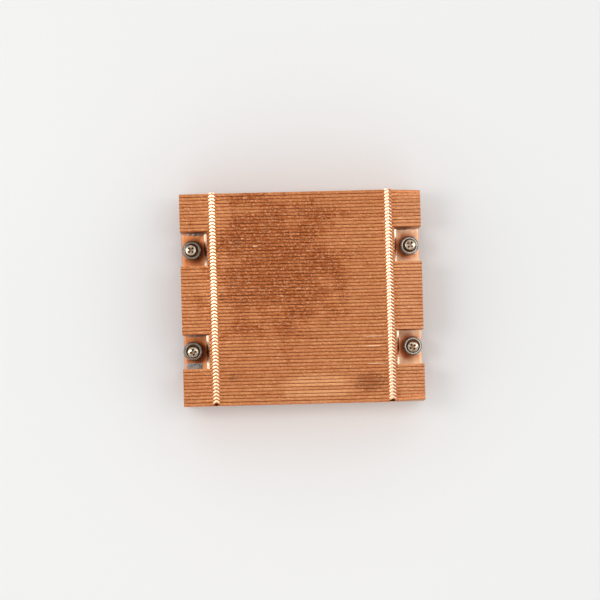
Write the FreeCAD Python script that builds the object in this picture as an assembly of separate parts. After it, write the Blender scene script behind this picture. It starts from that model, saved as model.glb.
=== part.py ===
import FreeCAD, Part
import math
import os

from FreeCAD import Vector

# Passive heatsink for a low server: folded copper fins, hooked into each other in two columns and
# soldered to a copper base plate, which four sprung captive screws hold down on the processor.
# Millimetres, +Z up, air along X, rear at +Y. The part stands on its four screw tips at z = 0, and
# the origin is on the floor under the middle of the base.

# ---- fin stack ----
FIN_LENGTH = 108.0       # along X, also the length of the base plate
FIN_PITCH = 1.535        # from one folded sheet to the next
FIN_HEIGHT = 21.5
SHEET = 0.30             # copper sheet of the fins
FLANGE_GAP = 0.05        # seam between a flange and the next sheet
END_FINS = 11            # full fins at the front and at the rear
NOTCHED_FINS = 10        # short fins between two notches
MIDDLE_FINS = 20         # full fins between the front and rear notches
NOTCH_DEPTH = 12.0       # how far a notch reaches in from the fin ends

# ---- interlock: a roof-shaped strip on each flange, whose tongue fills the next fin's window ----
LOCK_INSET = 2.6         # middle of a column, in from the ends of the short fins
LOCK_HALF_WIDTH = 1.7
LOCK_POINT = 1.07        # how far windows and tongues point rearward
LOCK_RISE = 0.35         # ridge of the roof above the flanges
LAST_TONGUE = 0.30       # what is left of the rear fin's cropped tongues

# ---- base plate ----
BASE_THICK = 5.0
POCKET_DEPTH = 1.7       # milled under each notch, with a 45 degree inner wall
POCKET_EDGE = 0.8        # chamfer at the outer end of each pocket floor
PAD_EDGE = 0.4           # chamfer round the contact pad

# ---- solder left in the pockets ----
SOLDER_WIDE = 1.1        # legs of the fillets at the pockets' rear walls
SOLDER_NARROW = 0.7
SOLDER_THIN = 0.35
PATCH_WIDTH = 2.8        # pool left at the front of one pocket
PATCH_LENGTH = 7.5
PATCH_THICK = 0.3
PATCH_INSET = 0.15       # in from the outer end of the pocket floor

# ---- captive screws ----
SCREW_INSET = 4.5        # screw axis, in from the ends of the base
SCREW_REACH = 5.0        # tip below the contact face
THREAD_D = 3.5           # at the tip only
NECK_STEP = 0.45         # how far the neck above the thread is cut in from it
HOLE_CLEARANCE = 0.2     # round the thread where it passes the base
HEAD_D = 5.3
HEAD_HEIGHT = 1.8
CROSS_LENGTH = 2.9
CROSS_WIDTH = 0.75
CROSS_DEPTH = 1.2

# ---- retaining clips ----
CLIP_OVERLAP = 1.25      # past the edge of the screw's hole
CLIP_CORNER = 1.5        # cut off each corner
CLIP_THICK = 0.6
CLIP_GAP = 0.05          # clear air to the neck, to the thread and to the base
CLIP_SINK = 0.15         # how far the clip stays above the contact face

# ---- cup washers, which the springs push up against the screw heads ----
WASHER_LEAN = 0.4        # how far each loose washer sits to one side of its screw
SINK_CLEARANCE = 0.1     # left beside the screw head where it comes nearest to the recess
SINK_DEPTH = 1.2
SINK_FLOOR = 0.8
RIM_WIDTH = 1.25
BORE_CLEARANCE = 0.1     # round the thread when the washer is slipped on

# ---- springs ----
SPRING_FITTED = 8.7      # length between pocket floor and washer
SPRING_INSET = 0.25      # outside of the coil, in from the edge of the washer
SPRING_WIRE = 1.1
COIL_GAP = 0.08          # between an end coil and the next
COIL_TURNS = 3.75
COIL_FLAT = 0.25         # part of a turn at each end that lies flat
COIL_STEPS = 8           # straight lengths in one turn
WIRE_SIDES = 6

# ---- worked out ----
FIN_COUNT = 2 * END_FINS + 2 * NOTCHED_FINS + MIDDLE_FINS
HALF_LENGTH = FIN_LENGTH / 2
HALF_WIDTH = FIN_COUNT * FIN_PITCH / 2
BASE_BOTTOM = SCREW_REACH
BASE_TOP = BASE_BOTTOM + BASE_THICK
POCKET_FLOOR = BASE_TOP - POCKET_DEPTH
NOTCH_WALL = HALF_LENGTH - NOTCH_DEPTH
NOTCH_INNER_Y = MIDDLE_FINS * FIN_PITCH / 2
NOTCH_OUTER_Y = NOTCH_INNER_Y + NOTCHED_FINS * FIN_PITCH
LOCK_X = NOTCH_WALL - LOCK_INSET
FLOOR_START = NOTCH_WALL + POCKET_DEPTH
FLOOR_END = HALF_LENGTH - POCKET_EDGE
SCREW_X = HALF_LENGTH - SCREW_INSET
SCREW_Y = (NOTCH_INNER_Y + NOTCH_OUTER_Y) / 2
FLANGE = FIN_PITCH - FLANGE_GAP
THREAD_R = THREAD_D / 2
NECK_R = THREAD_R - NECK_STEP
HOLE_R = THREAD_R + HOLE_CLEARANCE
BORE_R = THREAD_R + BORE_CLEARANCE
HEAD_R = HEAD_D / 2
SINK_R = HEAD_R + WASHER_LEAN + SINK_CLEARANCE
WASHER_R = SINK_R + RIM_WIDTH
SPRING_R = WASHER_R - SPRING_INSET
WASHER_BOTTOM = POCKET_FLOOR + SPRING_FITTED
HEAD_SEAT = WASHER_BOTTOM + SINK_FLOOR
WASHER_TOP = HEAD_SEAT + SINK_DEPTH
HEAD_TOP = HEAD_SEAT + HEAD_HEIGHT
CLIP_BOTTOM = BASE_BOTTOM + CLIP_SINK
CLIP_TOP = CLIP_BOTTOM + CLIP_THICK
RELIEF_TOP = CLIP_TOP + CLIP_GAP

# name, side along X, side along Y, and the way the loose washer leans
CORNERS = (
    ("rear_left", -1, 1, Vector(0.98, -0.2, 0)),
    ("rear_right", 1, 1, Vector(-0.76, -0.65, 0)),
    ("front_left", -1, -1, Vector(-0.16, 0.98, 0)),
    ("front_right", 1, -1, Vector(0.22, 0.97, 0)),
)


def box(low, high):
    """Block between two opposite corners."""
    size = high - low
    return Part.makeBox(size.x, size.y, size.z, low)


def polygon(points):
    """Flat face bounded by straight lines through the points."""
    return Part.Face(Part.makePolygon(points + points[:1]))


def turned(profile):
    """Solid of revolution about Z from (radius, height) points."""
    face = polygon([Vector(r, 0, z) for r, z in profile])
    return face.revolve(Vector(0, 0, 0), Vector(0, 0, 1), 360)


# ---------------------------------------------------------------- fins


def fin_sheet(half_length):
    """One folded sheet, standing at y = 0 on z = 0, with its flanges running rearward."""
    top = FIN_HEIGHT
    section = [
        (FLANGE, 0),
        (0, 0),
        (0, top - SHEET),
        (SHEET, top),
        (FLANGE, top),
        (FLANGE, top - SHEET),
        (SHEET, top - SHEET),
        (SHEET, SHEET),
        (FLANGE, SHEET),
    ]
    face = polygon([Vector(-half_length, y, z) for y, z in section])
    return face.extrude(Vector(2 * half_length, 0, 0))


def lock_window(x):
    """What is stamped out of a fin at a column: the fold and the flange behind it."""
    top = FIN_HEIGHT
    low = Vector(x - LOCK_HALF_WIDTH, 0, top - SHEET)
    high = Vector(x + LOCK_HALF_WIDTH, FIN_PITCH, top)
    return box(low, high)


def roof_half(x, side):
    """Half of the roof-shaped strip at a column. It slants up and rearward from the cut end of
    the flange to the ridge, so its front edge bounds the window and its rear is the tongue."""
    top = FIN_HEIGHT
    eave = x + side * LOCK_HALF_WIDTH
    end = polygon([
        Vector(eave, SHEET, top),
        Vector(eave, SHEET + FLANGE, top),
        Vector(eave, SHEET + FLANGE, top - SHEET),
        Vector(eave, SHEET, top - SHEET),
    ])
    return end.extrude(Vector(-side * LOCK_HALF_WIDTH, LOCK_POINT, LOCK_RISE))


def make_fin(half_length):
    """A folded fin with its two windows and two roof-shaped tongues."""
    fin = fin_sheet(half_length)
    for side in (-1, 1):
        x = side * LOCK_X
        fin = fin.cut(lock_window(x))
        fin = fin.fuse([roof_half(x, -1), roof_half(x, 1)])
    return fin.removeSplitter()


def cropped(fin):
    """The rear fin, whose tongues have nothing to hook into and are cut short."""
    reach = FIN_PITCH + LAST_TONGUE
    keep = box(
        Vector(-FIN_LENGTH, -FIN_PITCH, -FIN_HEIGHT),
        Vector(FIN_LENGTH, reach, 2 * FIN_HEIGHT),
    )
    return fin.common(keep).removeSplitter()


def fin_row(first, count, half_length):
    """Compound of separate fins, numbered from the front of the stack."""
    pattern = make_fin(half_length)
    fins = []
    for number in range(first, first + count):
        fin = cropped(pattern) if number == FIN_COUNT - 1 else pattern.copy()
        fin.translate(Vector(0, number * FIN_PITCH - HALF_WIDTH, BASE_TOP))
        fins.append(fin)
    return Part.makeCompound(fins)


def fin_groups():
    """The five rows of fins from front to rear: full, short, full, short, full."""
    rows = (
        ("fins_front", END_FINS, HALF_LENGTH),
        ("fins_front_notched", NOTCHED_FINS, NOTCH_WALL),
        ("fins_middle", MIDDLE_FINS, HALF_LENGTH),
        ("fins_rear_notched", NOTCHED_FINS, NOTCH_WALL),
        ("fins_rear", END_FINS, HALF_LENGTH),
    )
    groups = {}
    first = 0
    for name, count, half_length in rows:
        groups[name] = fin_row(first, count, half_length)
        first += count
    return groups


# ---------------------------------------------------------------- base plate


def pocket_cutter(side_x, side_y):
    """Milled pocket: sloped inner wall, flat floor open to the plate's end, chamfered outer edge."""
    beyond = HALF_LENGTH + POCKET_EDGE
    section = [
        (NOTCH_WALL, BASE_TOP),
        (FLOOR_START, POCKET_FLOOR),
        (FLOOR_END, POCKET_FLOOR),
        (beyond, POCKET_FLOOR - 2 * POCKET_EDGE),
        (beyond, BASE_TOP),
    ]
    start = NOTCH_INNER_Y if side_y > 0 else -NOTCH_OUTER_Y
    face = polygon([Vector(side_x * x, start, z) for x, z in section])
    return face.extrude(Vector(0, NOTCH_OUTER_Y - NOTCH_INNER_Y, 0))


def contact_pad_edges(plate):
    """The straight edges round the contact pad, which is the lowest face of the plate."""
    return [edge for edge in plate.Edges if edge.BoundBox.ZMax < CLIP_BOTTOM]


def base_plate():
    """Copper slab whose ends are milled off below for the clips, which leaves the contact pad
    proud, with four pockets and four screw holes."""
    low = Vector(-HALF_LENGTH, -HALF_WIDTH, BASE_BOTTOM)
    plate = box(low, Vector(HALF_LENGTH, HALF_WIDTH, BASE_TOP))
    end = box(low, Vector(-NOTCH_WALL, HALF_WIDTH, RELIEF_TOP))
    other_end = end.translated(Vector(HALF_LENGTH + NOTCH_WALL, 0, 0))
    plate = plate.cut([end, other_end])
    plate = plate.makeChamfer(PAD_EDGE, contact_pad_edges(plate))
    for _, side_x, side_y, _ in CORNERS:
        centre = Vector(side_x * SCREW_X, side_y * SCREW_Y, 0)
        plate = plate.cut(pocket_cutter(side_x, side_y))
        plate = plate.cut(Part.makeCylinder(HOLE_R, BASE_TOP, centre))
    return plate.removeSplitter()


# ---------------------------------------------------------------- solder


def solder_fillet(side_x, wall, leg):
    """Run of solder in the corner between a pocket's floor and its rear wall."""
    start = side_x * FLOOR_START
    section = [
        Vector(start, wall, POCKET_FLOOR),
        Vector(start, wall - leg, POCKET_FLOOR),
        Vector(start, wall, POCKET_FLOOR + leg),
    ]
    return polygon(section).extrude(Vector(side_x * (FLOOR_END - FLOOR_START), 0, 0))


def solder_patch():
    """Shallow pool of solder at the front of the front left pocket, thinner at its free edge."""
    wall = -NOTCH_OUTER_Y
    start = PATCH_INSET - FLOOR_END
    section = [
        Vector(start, wall, POCKET_FLOOR),
        Vector(start, wall + PATCH_WIDTH, POCKET_FLOOR),
        Vector(start, wall + PATCH_WIDTH - PATCH_THICK, POCKET_FLOOR + PATCH_THICK),
        Vector(start, wall, POCKET_FLOOR + PATCH_THICK),
    ]
    return polygon(section).extrude(Vector(PATCH_LENGTH, 0, 0))


def solder_residue():
    """Solder squeezed out of the joint and left in the pockets."""
    return Part.makeCompound([
        solder_fillet(-1, NOTCH_OUTER_Y, SOLDER_WIDE),
        solder_fillet(-1, -NOTCH_INNER_Y, SOLDER_NARROW),
        solder_fillet(1, NOTCH_OUTER_Y, SOLDER_THIN),
        solder_patch(),
    ])


# ---------------------------------------------------------------- captive screws


def cross_recess():
    """Cutter for the driver recess: two crossed slots."""
    bottom = HEAD_TOP - CROSS_DEPTH
    long = CROSS_LENGTH / 2
    half = CROSS_WIDTH / 2
    along = box(Vector(-long, -half, bottom), Vector(long, half, HEAD_TOP))
    across = box(Vector(-half, -long, bottom), Vector(half, long, HEAD_TOP))
    return along.fuse(across).removeSplitter()


def captive_screw():
    """Screw with a driver recess in its head, a thin neck and a thicker threaded tip."""
    thread_top = CLIP_BOTTOM - CLIP_GAP
    screw = turned([
        (0, 0),
        (THREAD_R, 0),
        (THREAD_R, thread_top),
        (NECK_R, thread_top),
        (NECK_R, HEAD_SEAT),
        (HEAD_R, HEAD_SEAT),
        (HEAD_R, HEAD_TOP),
        (0, HEAD_TOP),
    ])
    return screw.cut(cross_recess())


def retaining_clip():
    """Flat clip pushed onto the neck between thread and base, which keeps the screw captive."""
    half = HOLE_R + CLIP_OVERLAP
    short = half - CLIP_CORNER
    outline = [
        (half, short),
        (short, half),
        (-short, half),
        (-half, short),
        (-half, -short),
        (-short, -half),
        (short, -half),
        (half, -short),
    ]
    plate = polygon([Vector(x, y, CLIP_BOTTOM) for x, y in outline])
    plate = plate.extrude(Vector(0, 0, CLIP_THICK))
    slot_r = NECK_R + CLIP_GAP
    seat = Part.makeCylinder(slot_r, CLIP_THICK, Vector(0, 0, CLIP_BOTTOM))
    mouth = box(Vector(0, -slot_r, CLIP_BOTTOM), Vector(half, slot_r, CLIP_TOP))
    return plate.cut(seat.fuse(mouth))


def cup_washer():
    """Turned washer with a recess for the screw head and a bore that the thread slips through."""
    return turned([
        (BORE_R, WASHER_BOTTOM),
        (WASHER_R, WASHER_BOTTOM),
        (WASHER_R, WASHER_TOP),
        (SINK_R, WASHER_TOP),
        (SINK_R, HEAD_SEAT),
        (BORE_R, HEAD_SEAT),
    ])


def coil_height(turn):
    """Height of the wire's middle above its lowest place: flat and closed at both ends."""
    rise = SPRING_FITTED - SPRING_WIRE
    closed = SPRING_WIRE + COIL_GAP
    if turn > COIL_TURNS / 2:
        return rise - coil_height(COIL_TURNS - turn)
    if turn <= COIL_FLAT:
        return 0.0
    if turn <= 1:
        return closed * (turn - COIL_FLAT) / (1 - COIL_FLAT)
    return closed + (rise / 2 - closed) * (turn - 1) / (COIL_TURNS / 2 - 1)


def wire_ring(step):
    """Corners of the wire's section at one step round the coil, flat on top and below."""
    turn = step / COIL_STEPS
    angle = 2 * math.pi * turn
    corner_r = SPRING_WIRE / 2 / math.cos(math.pi / WIRE_SIDES)
    coil_r = SPRING_R - corner_r
    middle = POCKET_FLOOR + SPRING_WIRE / 2 + coil_height(turn)
    corners = []
    for side in range(WIRE_SIDES):
        around = 2 * math.pi * side / WIRE_SIDES
        r = coil_r + corner_r * math.cos(around)
        z = middle + corner_r * math.sin(around)
        corners.append(Vector(r * math.cos(angle), r * math.sin(angle), z))
    return corners


def spring():
    """Compression spring with closed ends, its wire in straight lengths of six-sided section."""
    rings = [wire_ring(step) for step in range(round(COIL_TURNS * COIL_STEPS) + 1)]
    faces = [polygon(rings[0]), polygon(rings[-1])]
    for here, there in zip(rings, rings[1:]):
        for side in range(WIRE_SIDES):
            following = (side + 1) % WIRE_SIDES
            faces.append(polygon([here[side], here[following], there[following]]))
            faces.append(polygon([here[side], there[following], there[side]]))
    solid = Part.Solid(Part.Shell(faces))
    if solid.Volume < 0:
        solid.reverse()
    return solid


def fasteners():
    """Screw, clip, washer and spring at each corner, the washer and spring loose to one side."""
    nodes = {}
    for name, side_x, side_y, lean in CORNERS:
        axis = Vector(side_x * SCREW_X, side_y * SCREW_Y, 0)
        loose = axis + lean * WASHER_LEAN
        nodes["captive_screw_" + name] = captive_screw().translated(axis)
        nodes["retaining_clip_" + name] = retaining_clip().translated(axis)
        nodes["cup_washer_" + name] = cup_washer().translated(loose)
        nodes["spring_" + name] = spring().translated(loose)
    return nodes


def main():
    os.makedirs("parts", exist_ok=True)
    nodes = {"base_plate": base_plate(), "solder_residue": solder_residue()}
    nodes.update(fin_groups())
    nodes.update(fasteners())
    for name, shape in nodes.items():
        shape.exportStep("parts/" + name + ".step")


main()
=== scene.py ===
import math

import bmesh
import bpy
import numpy as np
from mathutils import Matrix, Vector


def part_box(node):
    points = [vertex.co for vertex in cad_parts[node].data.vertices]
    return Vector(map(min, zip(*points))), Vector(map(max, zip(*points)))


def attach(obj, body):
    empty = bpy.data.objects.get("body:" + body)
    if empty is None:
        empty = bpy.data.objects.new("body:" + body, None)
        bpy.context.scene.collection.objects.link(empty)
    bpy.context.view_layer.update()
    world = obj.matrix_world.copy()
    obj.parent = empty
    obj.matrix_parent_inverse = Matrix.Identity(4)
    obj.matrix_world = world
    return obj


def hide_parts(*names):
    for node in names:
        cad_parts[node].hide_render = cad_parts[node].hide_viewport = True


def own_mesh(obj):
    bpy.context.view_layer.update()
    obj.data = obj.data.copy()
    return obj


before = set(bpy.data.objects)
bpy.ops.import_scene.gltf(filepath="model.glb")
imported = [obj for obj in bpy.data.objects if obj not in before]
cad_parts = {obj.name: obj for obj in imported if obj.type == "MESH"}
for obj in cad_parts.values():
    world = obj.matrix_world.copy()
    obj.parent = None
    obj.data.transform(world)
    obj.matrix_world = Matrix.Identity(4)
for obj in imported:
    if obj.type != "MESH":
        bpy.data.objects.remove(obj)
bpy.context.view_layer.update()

# Low copper heatsink: folded fins hooked into each other in two columns, on a milled base plate
# with four sprung captive screws. Metres, +Z up, air along X, rear at +Y.

MM = 0.001
FIN_ROWS = {
    "fins_front": 11,
    "fins_front_notched": 10,
    "fins_middle": 20,
    "fins_rear_notched": 10,
    "fins_rear": 11,
}

# ---- fins ----
SHEET = 0.30 * MM
BEND = 0.32 * MM  # middle of the sheet round a fold
FOLD_ROWS = 5  # quads round an upper fold
FLANGE_END = 1.47 * MM  # free edge of a flange, from the front of its own fin
END_INSET = 0.02 * MM
UNEVEN = 0.022 * MM  # how far a fin's top leans out of its row
UNEVEN_WAVES = (60 * MM, 160 * MM)  # shortest and longest
TILT = 0.05  # slope of a flange
TILT_WAVES = (40 * MM, 120 * MM)
PRESSED_FROM = 34 * MM  # the outermost fins are pushed inwards from here to their right ends
PRESSED_IN = (0.70 * MM, 0.32 * MM, 0.10 * MM)

# ---- interlock: a roof-shaped strip on each flange ----
LOCK_INSET = 2.6 * MM  # middle of a column, in from the ends of the short fins
LOCK_HALF_WIDTH = 1.7 * MM
LOCK_POINT = 1.07 * MM  # how far the ridge starts behind the strip's edges
LOCK_RISE = 0.34 * MM
RIDGE_ABOVE = 0.35 * MM  # the solids' ridges over their flanges
RIDGE_ROUND = 0.22  # rounding of the roof shape, as a share of its half width
STRIP_FRONT = 0.34 * MM
STRIP_LENGTH = 1.40 * MM
STRIP_CURL = 0.36 * MM  # how far the front edge of a strip is rolled down
LAST_REACH = 1.83 * MM  # where the rear fin's tongues are cropped, from its front

# ---- base plate and solder ----
BASE_BEVEL = 0.12 * MM
POCKET_SLANT = 1.7 * MM  # width of a pocket's slanting inner wall, seen from above
FILLET_WIDE = 1.1 * MM
FILLET_NARROW = 0.7 * MM
FILLET_THIN = 0.35 * MM
FILLET_INSET = 0.7 * MM  # how far the wide fillet stops short of the floor's end
FILLET_LEAST = 0.04 * MM
FILLET_LUMPS = 3.2 * MM  # coarseness
FILLET_END = 0.8 * MM  # length over which a fillet is drawn in at its ends
POOL_INSET = 0.15 * MM
POOL_LENGTH = 7.5 * MM
POOL_WIDTH = 2.8 * MM
POOL_DEPTH = 0.3 * MM
POOL_RAGGED = 0.35 * MM  # how far its outline wanders inwards, on average
POOL_RAGS = 2.2 * MM  # coarseness
POOL_EDGE = 0.5 * MM  # width of its rising edge
POOL_LUMPS = 1.3 * MM

# ---- fasteners ----
HEAD_R = 2.65 * MM
HEAD_ROUND = 0.55 * MM  # rounding of the head's upper edge
HEAD_CROWN = 0.13 * MM  # rise of the head's face inside that edge
HEAD_BEVEL = 0.12 * MM  # the head's lower edge
TIP_INSET = 0.45 * MM  # bevel of the screw's tip
TIP_RISE = 0.35 * MM
THREAD_R = 1.75 * MM
THREAD_DEPTH = 0.32 * MM
THREAD_LEAD = 0.6 * MM
THREAD_FADE = 0.5 * MM  # length over which the thread runs out
THREAD_END = 0.1 * MM  # bevel above it
CLIP_GAP = 0.05 * MM  # from there to the clip
NECK_R = 1.3 * MM
BAR_TOP = (1.72 * MM, 0.50 * MM)  # driver recess: half length and half width of a bar
BAR_LOW = (0.80 * MM, 0.34 * MM)
BAR_DEPTH = 1.2 * MM
SINK_R = 3.15 * MM  # the washer's recess for the head
SINK_DEPTH = 1.2 * MM
BORE_R = 1.85 * MM
LIP_RISE = 0.1 * MM  # raised inner lip of a washer over its flat rim
COIL_R = 4.15 * MM  # outside of a spring
WIRE = 1.1 * MM
TURNS = 3.75
COIL_GAP = 0.08 * MM  # between the closed turns
# Turn of each screw's recess, in radians.
DRIVER_ANGLES = {"rear_left": 0.75, "rear_right": 0.95, "front_left": 0.15, "front_right": 0.60}

# ---- places taken from the solids ----
FRONT_LOW, FRONT_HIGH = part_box("fins_front")
SHORT_LOW, SHORT_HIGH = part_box("fins_front_notched")
BASE_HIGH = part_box("base_plate")[1]
SOLDER_LOW, SOLDER_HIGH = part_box("solder_residue")
SCREW_LOW, SCREW_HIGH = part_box("captive_screw_rear_right")
SCREW_AXIS = (SCREW_LOW + SCREW_HIGH) / 2
LIP_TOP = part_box("cup_washer_rear_right")[1].z
PITCH = (SHORT_LOW.y - FRONT_LOW.y) / FIN_ROWS["fins_front"]
FLANGE_TOP = FRONT_HIGH.z - RIDGE_ABOVE
LOCK_X = SHORT_HIGH.x - LOCK_INSET
NOTCH_WALL = SHORT_HIGH.x
REAR_NOTCH_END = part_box("fins_rear")[0].y
FRONT_NOTCH_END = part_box("fins_middle")[0].y
POCKET_FLOOR = SOLDER_LOW.z
POCKET_START = NOTCH_WALL + POCKET_SLANT

rng = np.random.default_rng(11)


# ---- meshes ----


def new_object(name, data):
    """Object at the origin that shows a mesh, a lamp or a camera."""
    obj = bpy.data.objects.new(name, data)
    bpy.context.scene.collection.objects.link(obj)
    return obj


def mesh_object(name, points, faces):
    """Object from an array of points and a list of faces."""
    mesh = bpy.data.meshes.new(name)
    mesh.from_pydata(points.tolist(), [], [list(map(int, face)) for face in faces])
    mesh.update()
    return new_object(name, mesh)


def grid_faces(rows, columns, wrap_rows=False, wrap_columns=False):
    """Corner numbers of the quads between neighbours on a grid, as an array of four columns."""
    row = np.arange(rows if wrap_rows else rows - 1)[:, None]
    column = np.arange(columns if wrap_columns else columns - 1)[None, :]
    next_row = (row + 1) % rows
    next_column = (column + 1) % columns
    corners = (
        row * columns + column,
        row * columns + next_column,
        next_row * columns + next_column,
        next_row * columns + column,
    )
    return np.stack([c.ravel() for c in np.broadcast_arrays(*corners)], axis=1)


def tube_faces(rows, sides):
    """Faces of a tube of point rows: quads between neighbouring rows, and a cap at each end."""
    faces = grid_faces(rows, sides, wrap_columns=True).tolist()
    faces.append(list(range(sides))[::-1])
    faces.append(list(range((rows - 1) * sides, rows * sides)))
    return faces


def used_only(points, faces):
    """Points that some face uses, and the faces renumbered for them."""
    used, renumbered = np.unique(faces, return_inverse=True)
    return points[used], renumbered.reshape(faces.shape)


def weld(obj, distance=1e-6):
    """Joins doubled points and turns all faces outwards."""
    work = bmesh.new()
    work.from_mesh(obj.data)
    bmesh.ops.remove_doubles(work, verts=work.verts, dist=distance)
    bmesh.ops.dissolve_degenerate(work, edges=work.edges, dist=distance)
    bmesh.ops.recalc_face_normals(work, faces=work.faces)
    work.to_mesh(obj.data)
    work.free()


def finish_mesh(obj, sharp_degrees):
    """Applies the modifiers, then shades smooth except across sharp edges."""
    evaluated = obj.evaluated_get(bpy.context.evaluated_depsgraph_get())
    mesh = bpy.data.meshes.new_from_object(evaluated)
    old = obj.data
    obj.modifiers.clear()
    obj.data = mesh
    bpy.data.meshes.remove(old)
    mesh.name = obj.name
    mesh.polygons.foreach_set("use_smooth", np.ones(len(mesh.polygons), bool))
    mesh.set_sharp_from_angle(angle=math.radians(sharp_degrees))
    return obj


def place(obj, body, material, node):
    """Hands a finished piece to its body, its finish and the solids that it stands for."""
    obj.data.materials.clear()
    obj.data.materials.append(material)
    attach(obj, body)
    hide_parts(node)


def joined(pieces):
    """One array of points and one list of faces from the points and faces of several pieces."""
    all_points, all_faces, start = [], [], 0
    for points, faces in pieces:
        all_points.append(points)
        all_faces += [[corner + start for corner in face] for face in faces]
        start += len(points)
    return np.concatenate(all_points), all_faces


def waves(x, count, amount, lengths):
    """One gentle random curve along x for each of count fins: a sum of three sines."""
    length = rng.uniform(*lengths, (count, 3, 1))
    phase = rng.uniform(0, 2 * math.pi, (count, 3, 1))
    size = rng.uniform(0.2, 1.0, (count, 3, 1))
    curve = size * np.sin(2 * math.pi * x[None, None, :] / length + phase)
    return amount * curve.sum(axis=1) / 2


# ---- folded fins ----

ROOF_STEPS = np.array([-1, -0.95, -0.65, -0.35, -0.12, 0, 0.12, 0.35, 0.65, 0.95, 1])
STRIP_STEPS = np.array([0, 0.14, 0.32, 0.66, 1])  # rows from the fold to the free edge


def fin_stations(half_length):
    """Places along a fin where its sheet has points: close together in the two columns."""
    inner = np.linspace(0, LOCK_X - LOCK_HALF_WIDTH, 7)[:-1]
    roof = LOCK_X + LOCK_HALF_WIDTH * ROOF_STEPS
    outer = np.linspace(LOCK_X + LOCK_HALF_WIDTH, half_length, 3)[1:]
    right = np.concatenate([inner, roof, outer])
    return np.concatenate([-right[:0:-1], right])


def fin_section():
    """Middle line of the folded sheet as y and height: the bottom flange's free edge, a quarter
    circle, the wall, another quarter circle, and the top flange."""
    low = SHEET / 2
    high = FLANGE_TOP - BASE_HIGH.z - SHEET / 2
    below = np.linspace(math.pi / 2, 0, 4)
    above = np.linspace(0, math.pi / 2, FOLD_ROWS + 1)
    y = np.concatenate([
        [FLANGE_END],
        low + BEND * (1 - np.cos(below)),
        [low],
        low + BEND * (1 - np.cos(above)),
        low + BEND + (FLANGE_END - low - BEND) * STRIP_STEPS[1:],
    ])
    z = np.concatenate([
        [low],
        low + BEND * (1 - np.sin(below)),
        [(low + high) / 2],
        high - BEND * (1 - np.sin(above)),
        np.full(len(STRIP_STEPS) - 1, high),
    ])
    return y, z


def ridge_share(across):
    """1 on the ridge of a strip and 0 at its edges, falling evenly but for a rounded top."""
    fall = np.sqrt(across ** 2 + RIDGE_ROUND ** 2) - RIDGE_ROUND
    return 1 - fall / (math.sqrt(1 + RIDGE_ROUND ** 2) - RIDGE_ROUND)


def fin_points(y0, x, section, lean, tilt, last):
    """Points of one fin's middle surface on a grid of section rows by stations. Its top leans by
    a gentle curve, its flange tilts, and in the columns the flange rows become a roof-shaped
    strip, shifted rearward and raised in proportion to the nearness of the ridge."""
    y, z = (np.repeat(part[:, None], len(x), axis=1) for part in section)
    height = z / z.max()
    flange = len(section[0]) - len(STRIP_STEPS)
    beyond = np.clip(y[flange:] - y[flange], 0, None)
    y = y + lean * height
    z[flange:] = z[flange:] - np.abs(tilt) * beyond

    across = (np.abs(x) - LOCK_X) / LOCK_HALF_WIDTH
    inside = np.abs(across) < 1 - 1e-6
    near = ridge_share(across)
    front = STRIP_FRONT + LOCK_POINT * near
    reach = front + STRIP_LENGTH
    if last:
        reach = np.minimum(reach, LAST_REACH)
    share = STRIP_STEPS[:, None]
    strip_y = front + share * (reach - front) + lean
    firm = np.clip(0.25 + 1.3 * np.abs(across), 0, 1)
    rolled = STRIP_CURL * firm * np.clip(1 - share / STRIP_STEPS[2], 0, 1) ** 2
    strip_z = z.max() + LOCK_RISE * near - rolled
    y[flange:, inside] = strip_y[:, inside]
    z[flange:, inside] = strip_z[:, inside]
    grid = np.stack([np.broadcast_to(x, y.shape), y + y0, z + BASE_HIGH.z], axis=2)
    return grid.reshape(-1, 3)


def fin_faces(x, rows, kept):
    """Quads of one fin, without those of the upper fold inside the columns: the windows. The
    first rows of the fold, as many as kept, stay as the window's front rim."""
    columns = len(x)
    faces = grid_faces(rows, columns)
    row = faces[:, 0] // columns
    middle = (x[faces[:, 0] % columns] + x[faces[:, 1] % columns]) / 2
    in_column = np.abs(np.abs(middle) - LOCK_X) < LOCK_HALF_WIDTH
    flange = rows - len(STRIP_STEPS)
    in_fold = (row >= flange - FOLD_ROWS + kept) & (row < flange)
    return faces[~(in_column & in_fold)]


def fin_block(node, count, number):
    """One piece with count fins, each a thin sheet given its thickness on both sides."""
    low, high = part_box(node)
    x = fin_stations(high.x - END_INSET)
    section = fin_section()
    lean = waves(x, count, UNEVEN, UNEVEN_WAVES)
    tilt = waves(x, count, TILT, TILT_WAVES)
    push = np.clip((x - PRESSED_FROM) / (FRONT_HIGH.x - PRESSED_FROM), 0, 1) ** 1.7
    fins = []
    for i in range(count):
        from_front = number + i
        from_rear = sum(FIN_ROWS.values()) - 1 - from_front
        if from_front < len(PRESSED_IN):
            lean[i] = np.abs(lean[i]) + PRESSED_IN[from_front] * push
        if from_rear < len(PRESSED_IN):
            lean[i] = -np.abs(lean[i]) - PRESSED_IN[from_rear] * push
        points = fin_points(low.y + i * PITCH, x, section, lean[i], tilt[i], from_rear == 0)
        faces = fin_faces(x, len(section[0]), 3 if from_front == 0 else 0)
        fins.append(used_only(points, faces))
    obj = mesh_object(node + "_sheets", *joined(fins))
    thick = obj.modifiers.new("sheet", "SOLIDIFY")
    thick.thickness = SHEET
    thick.offset = 0
    thick.use_even_offset = True
    return finish_mesh(obj, 40)


# ---- base plate ----


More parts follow.
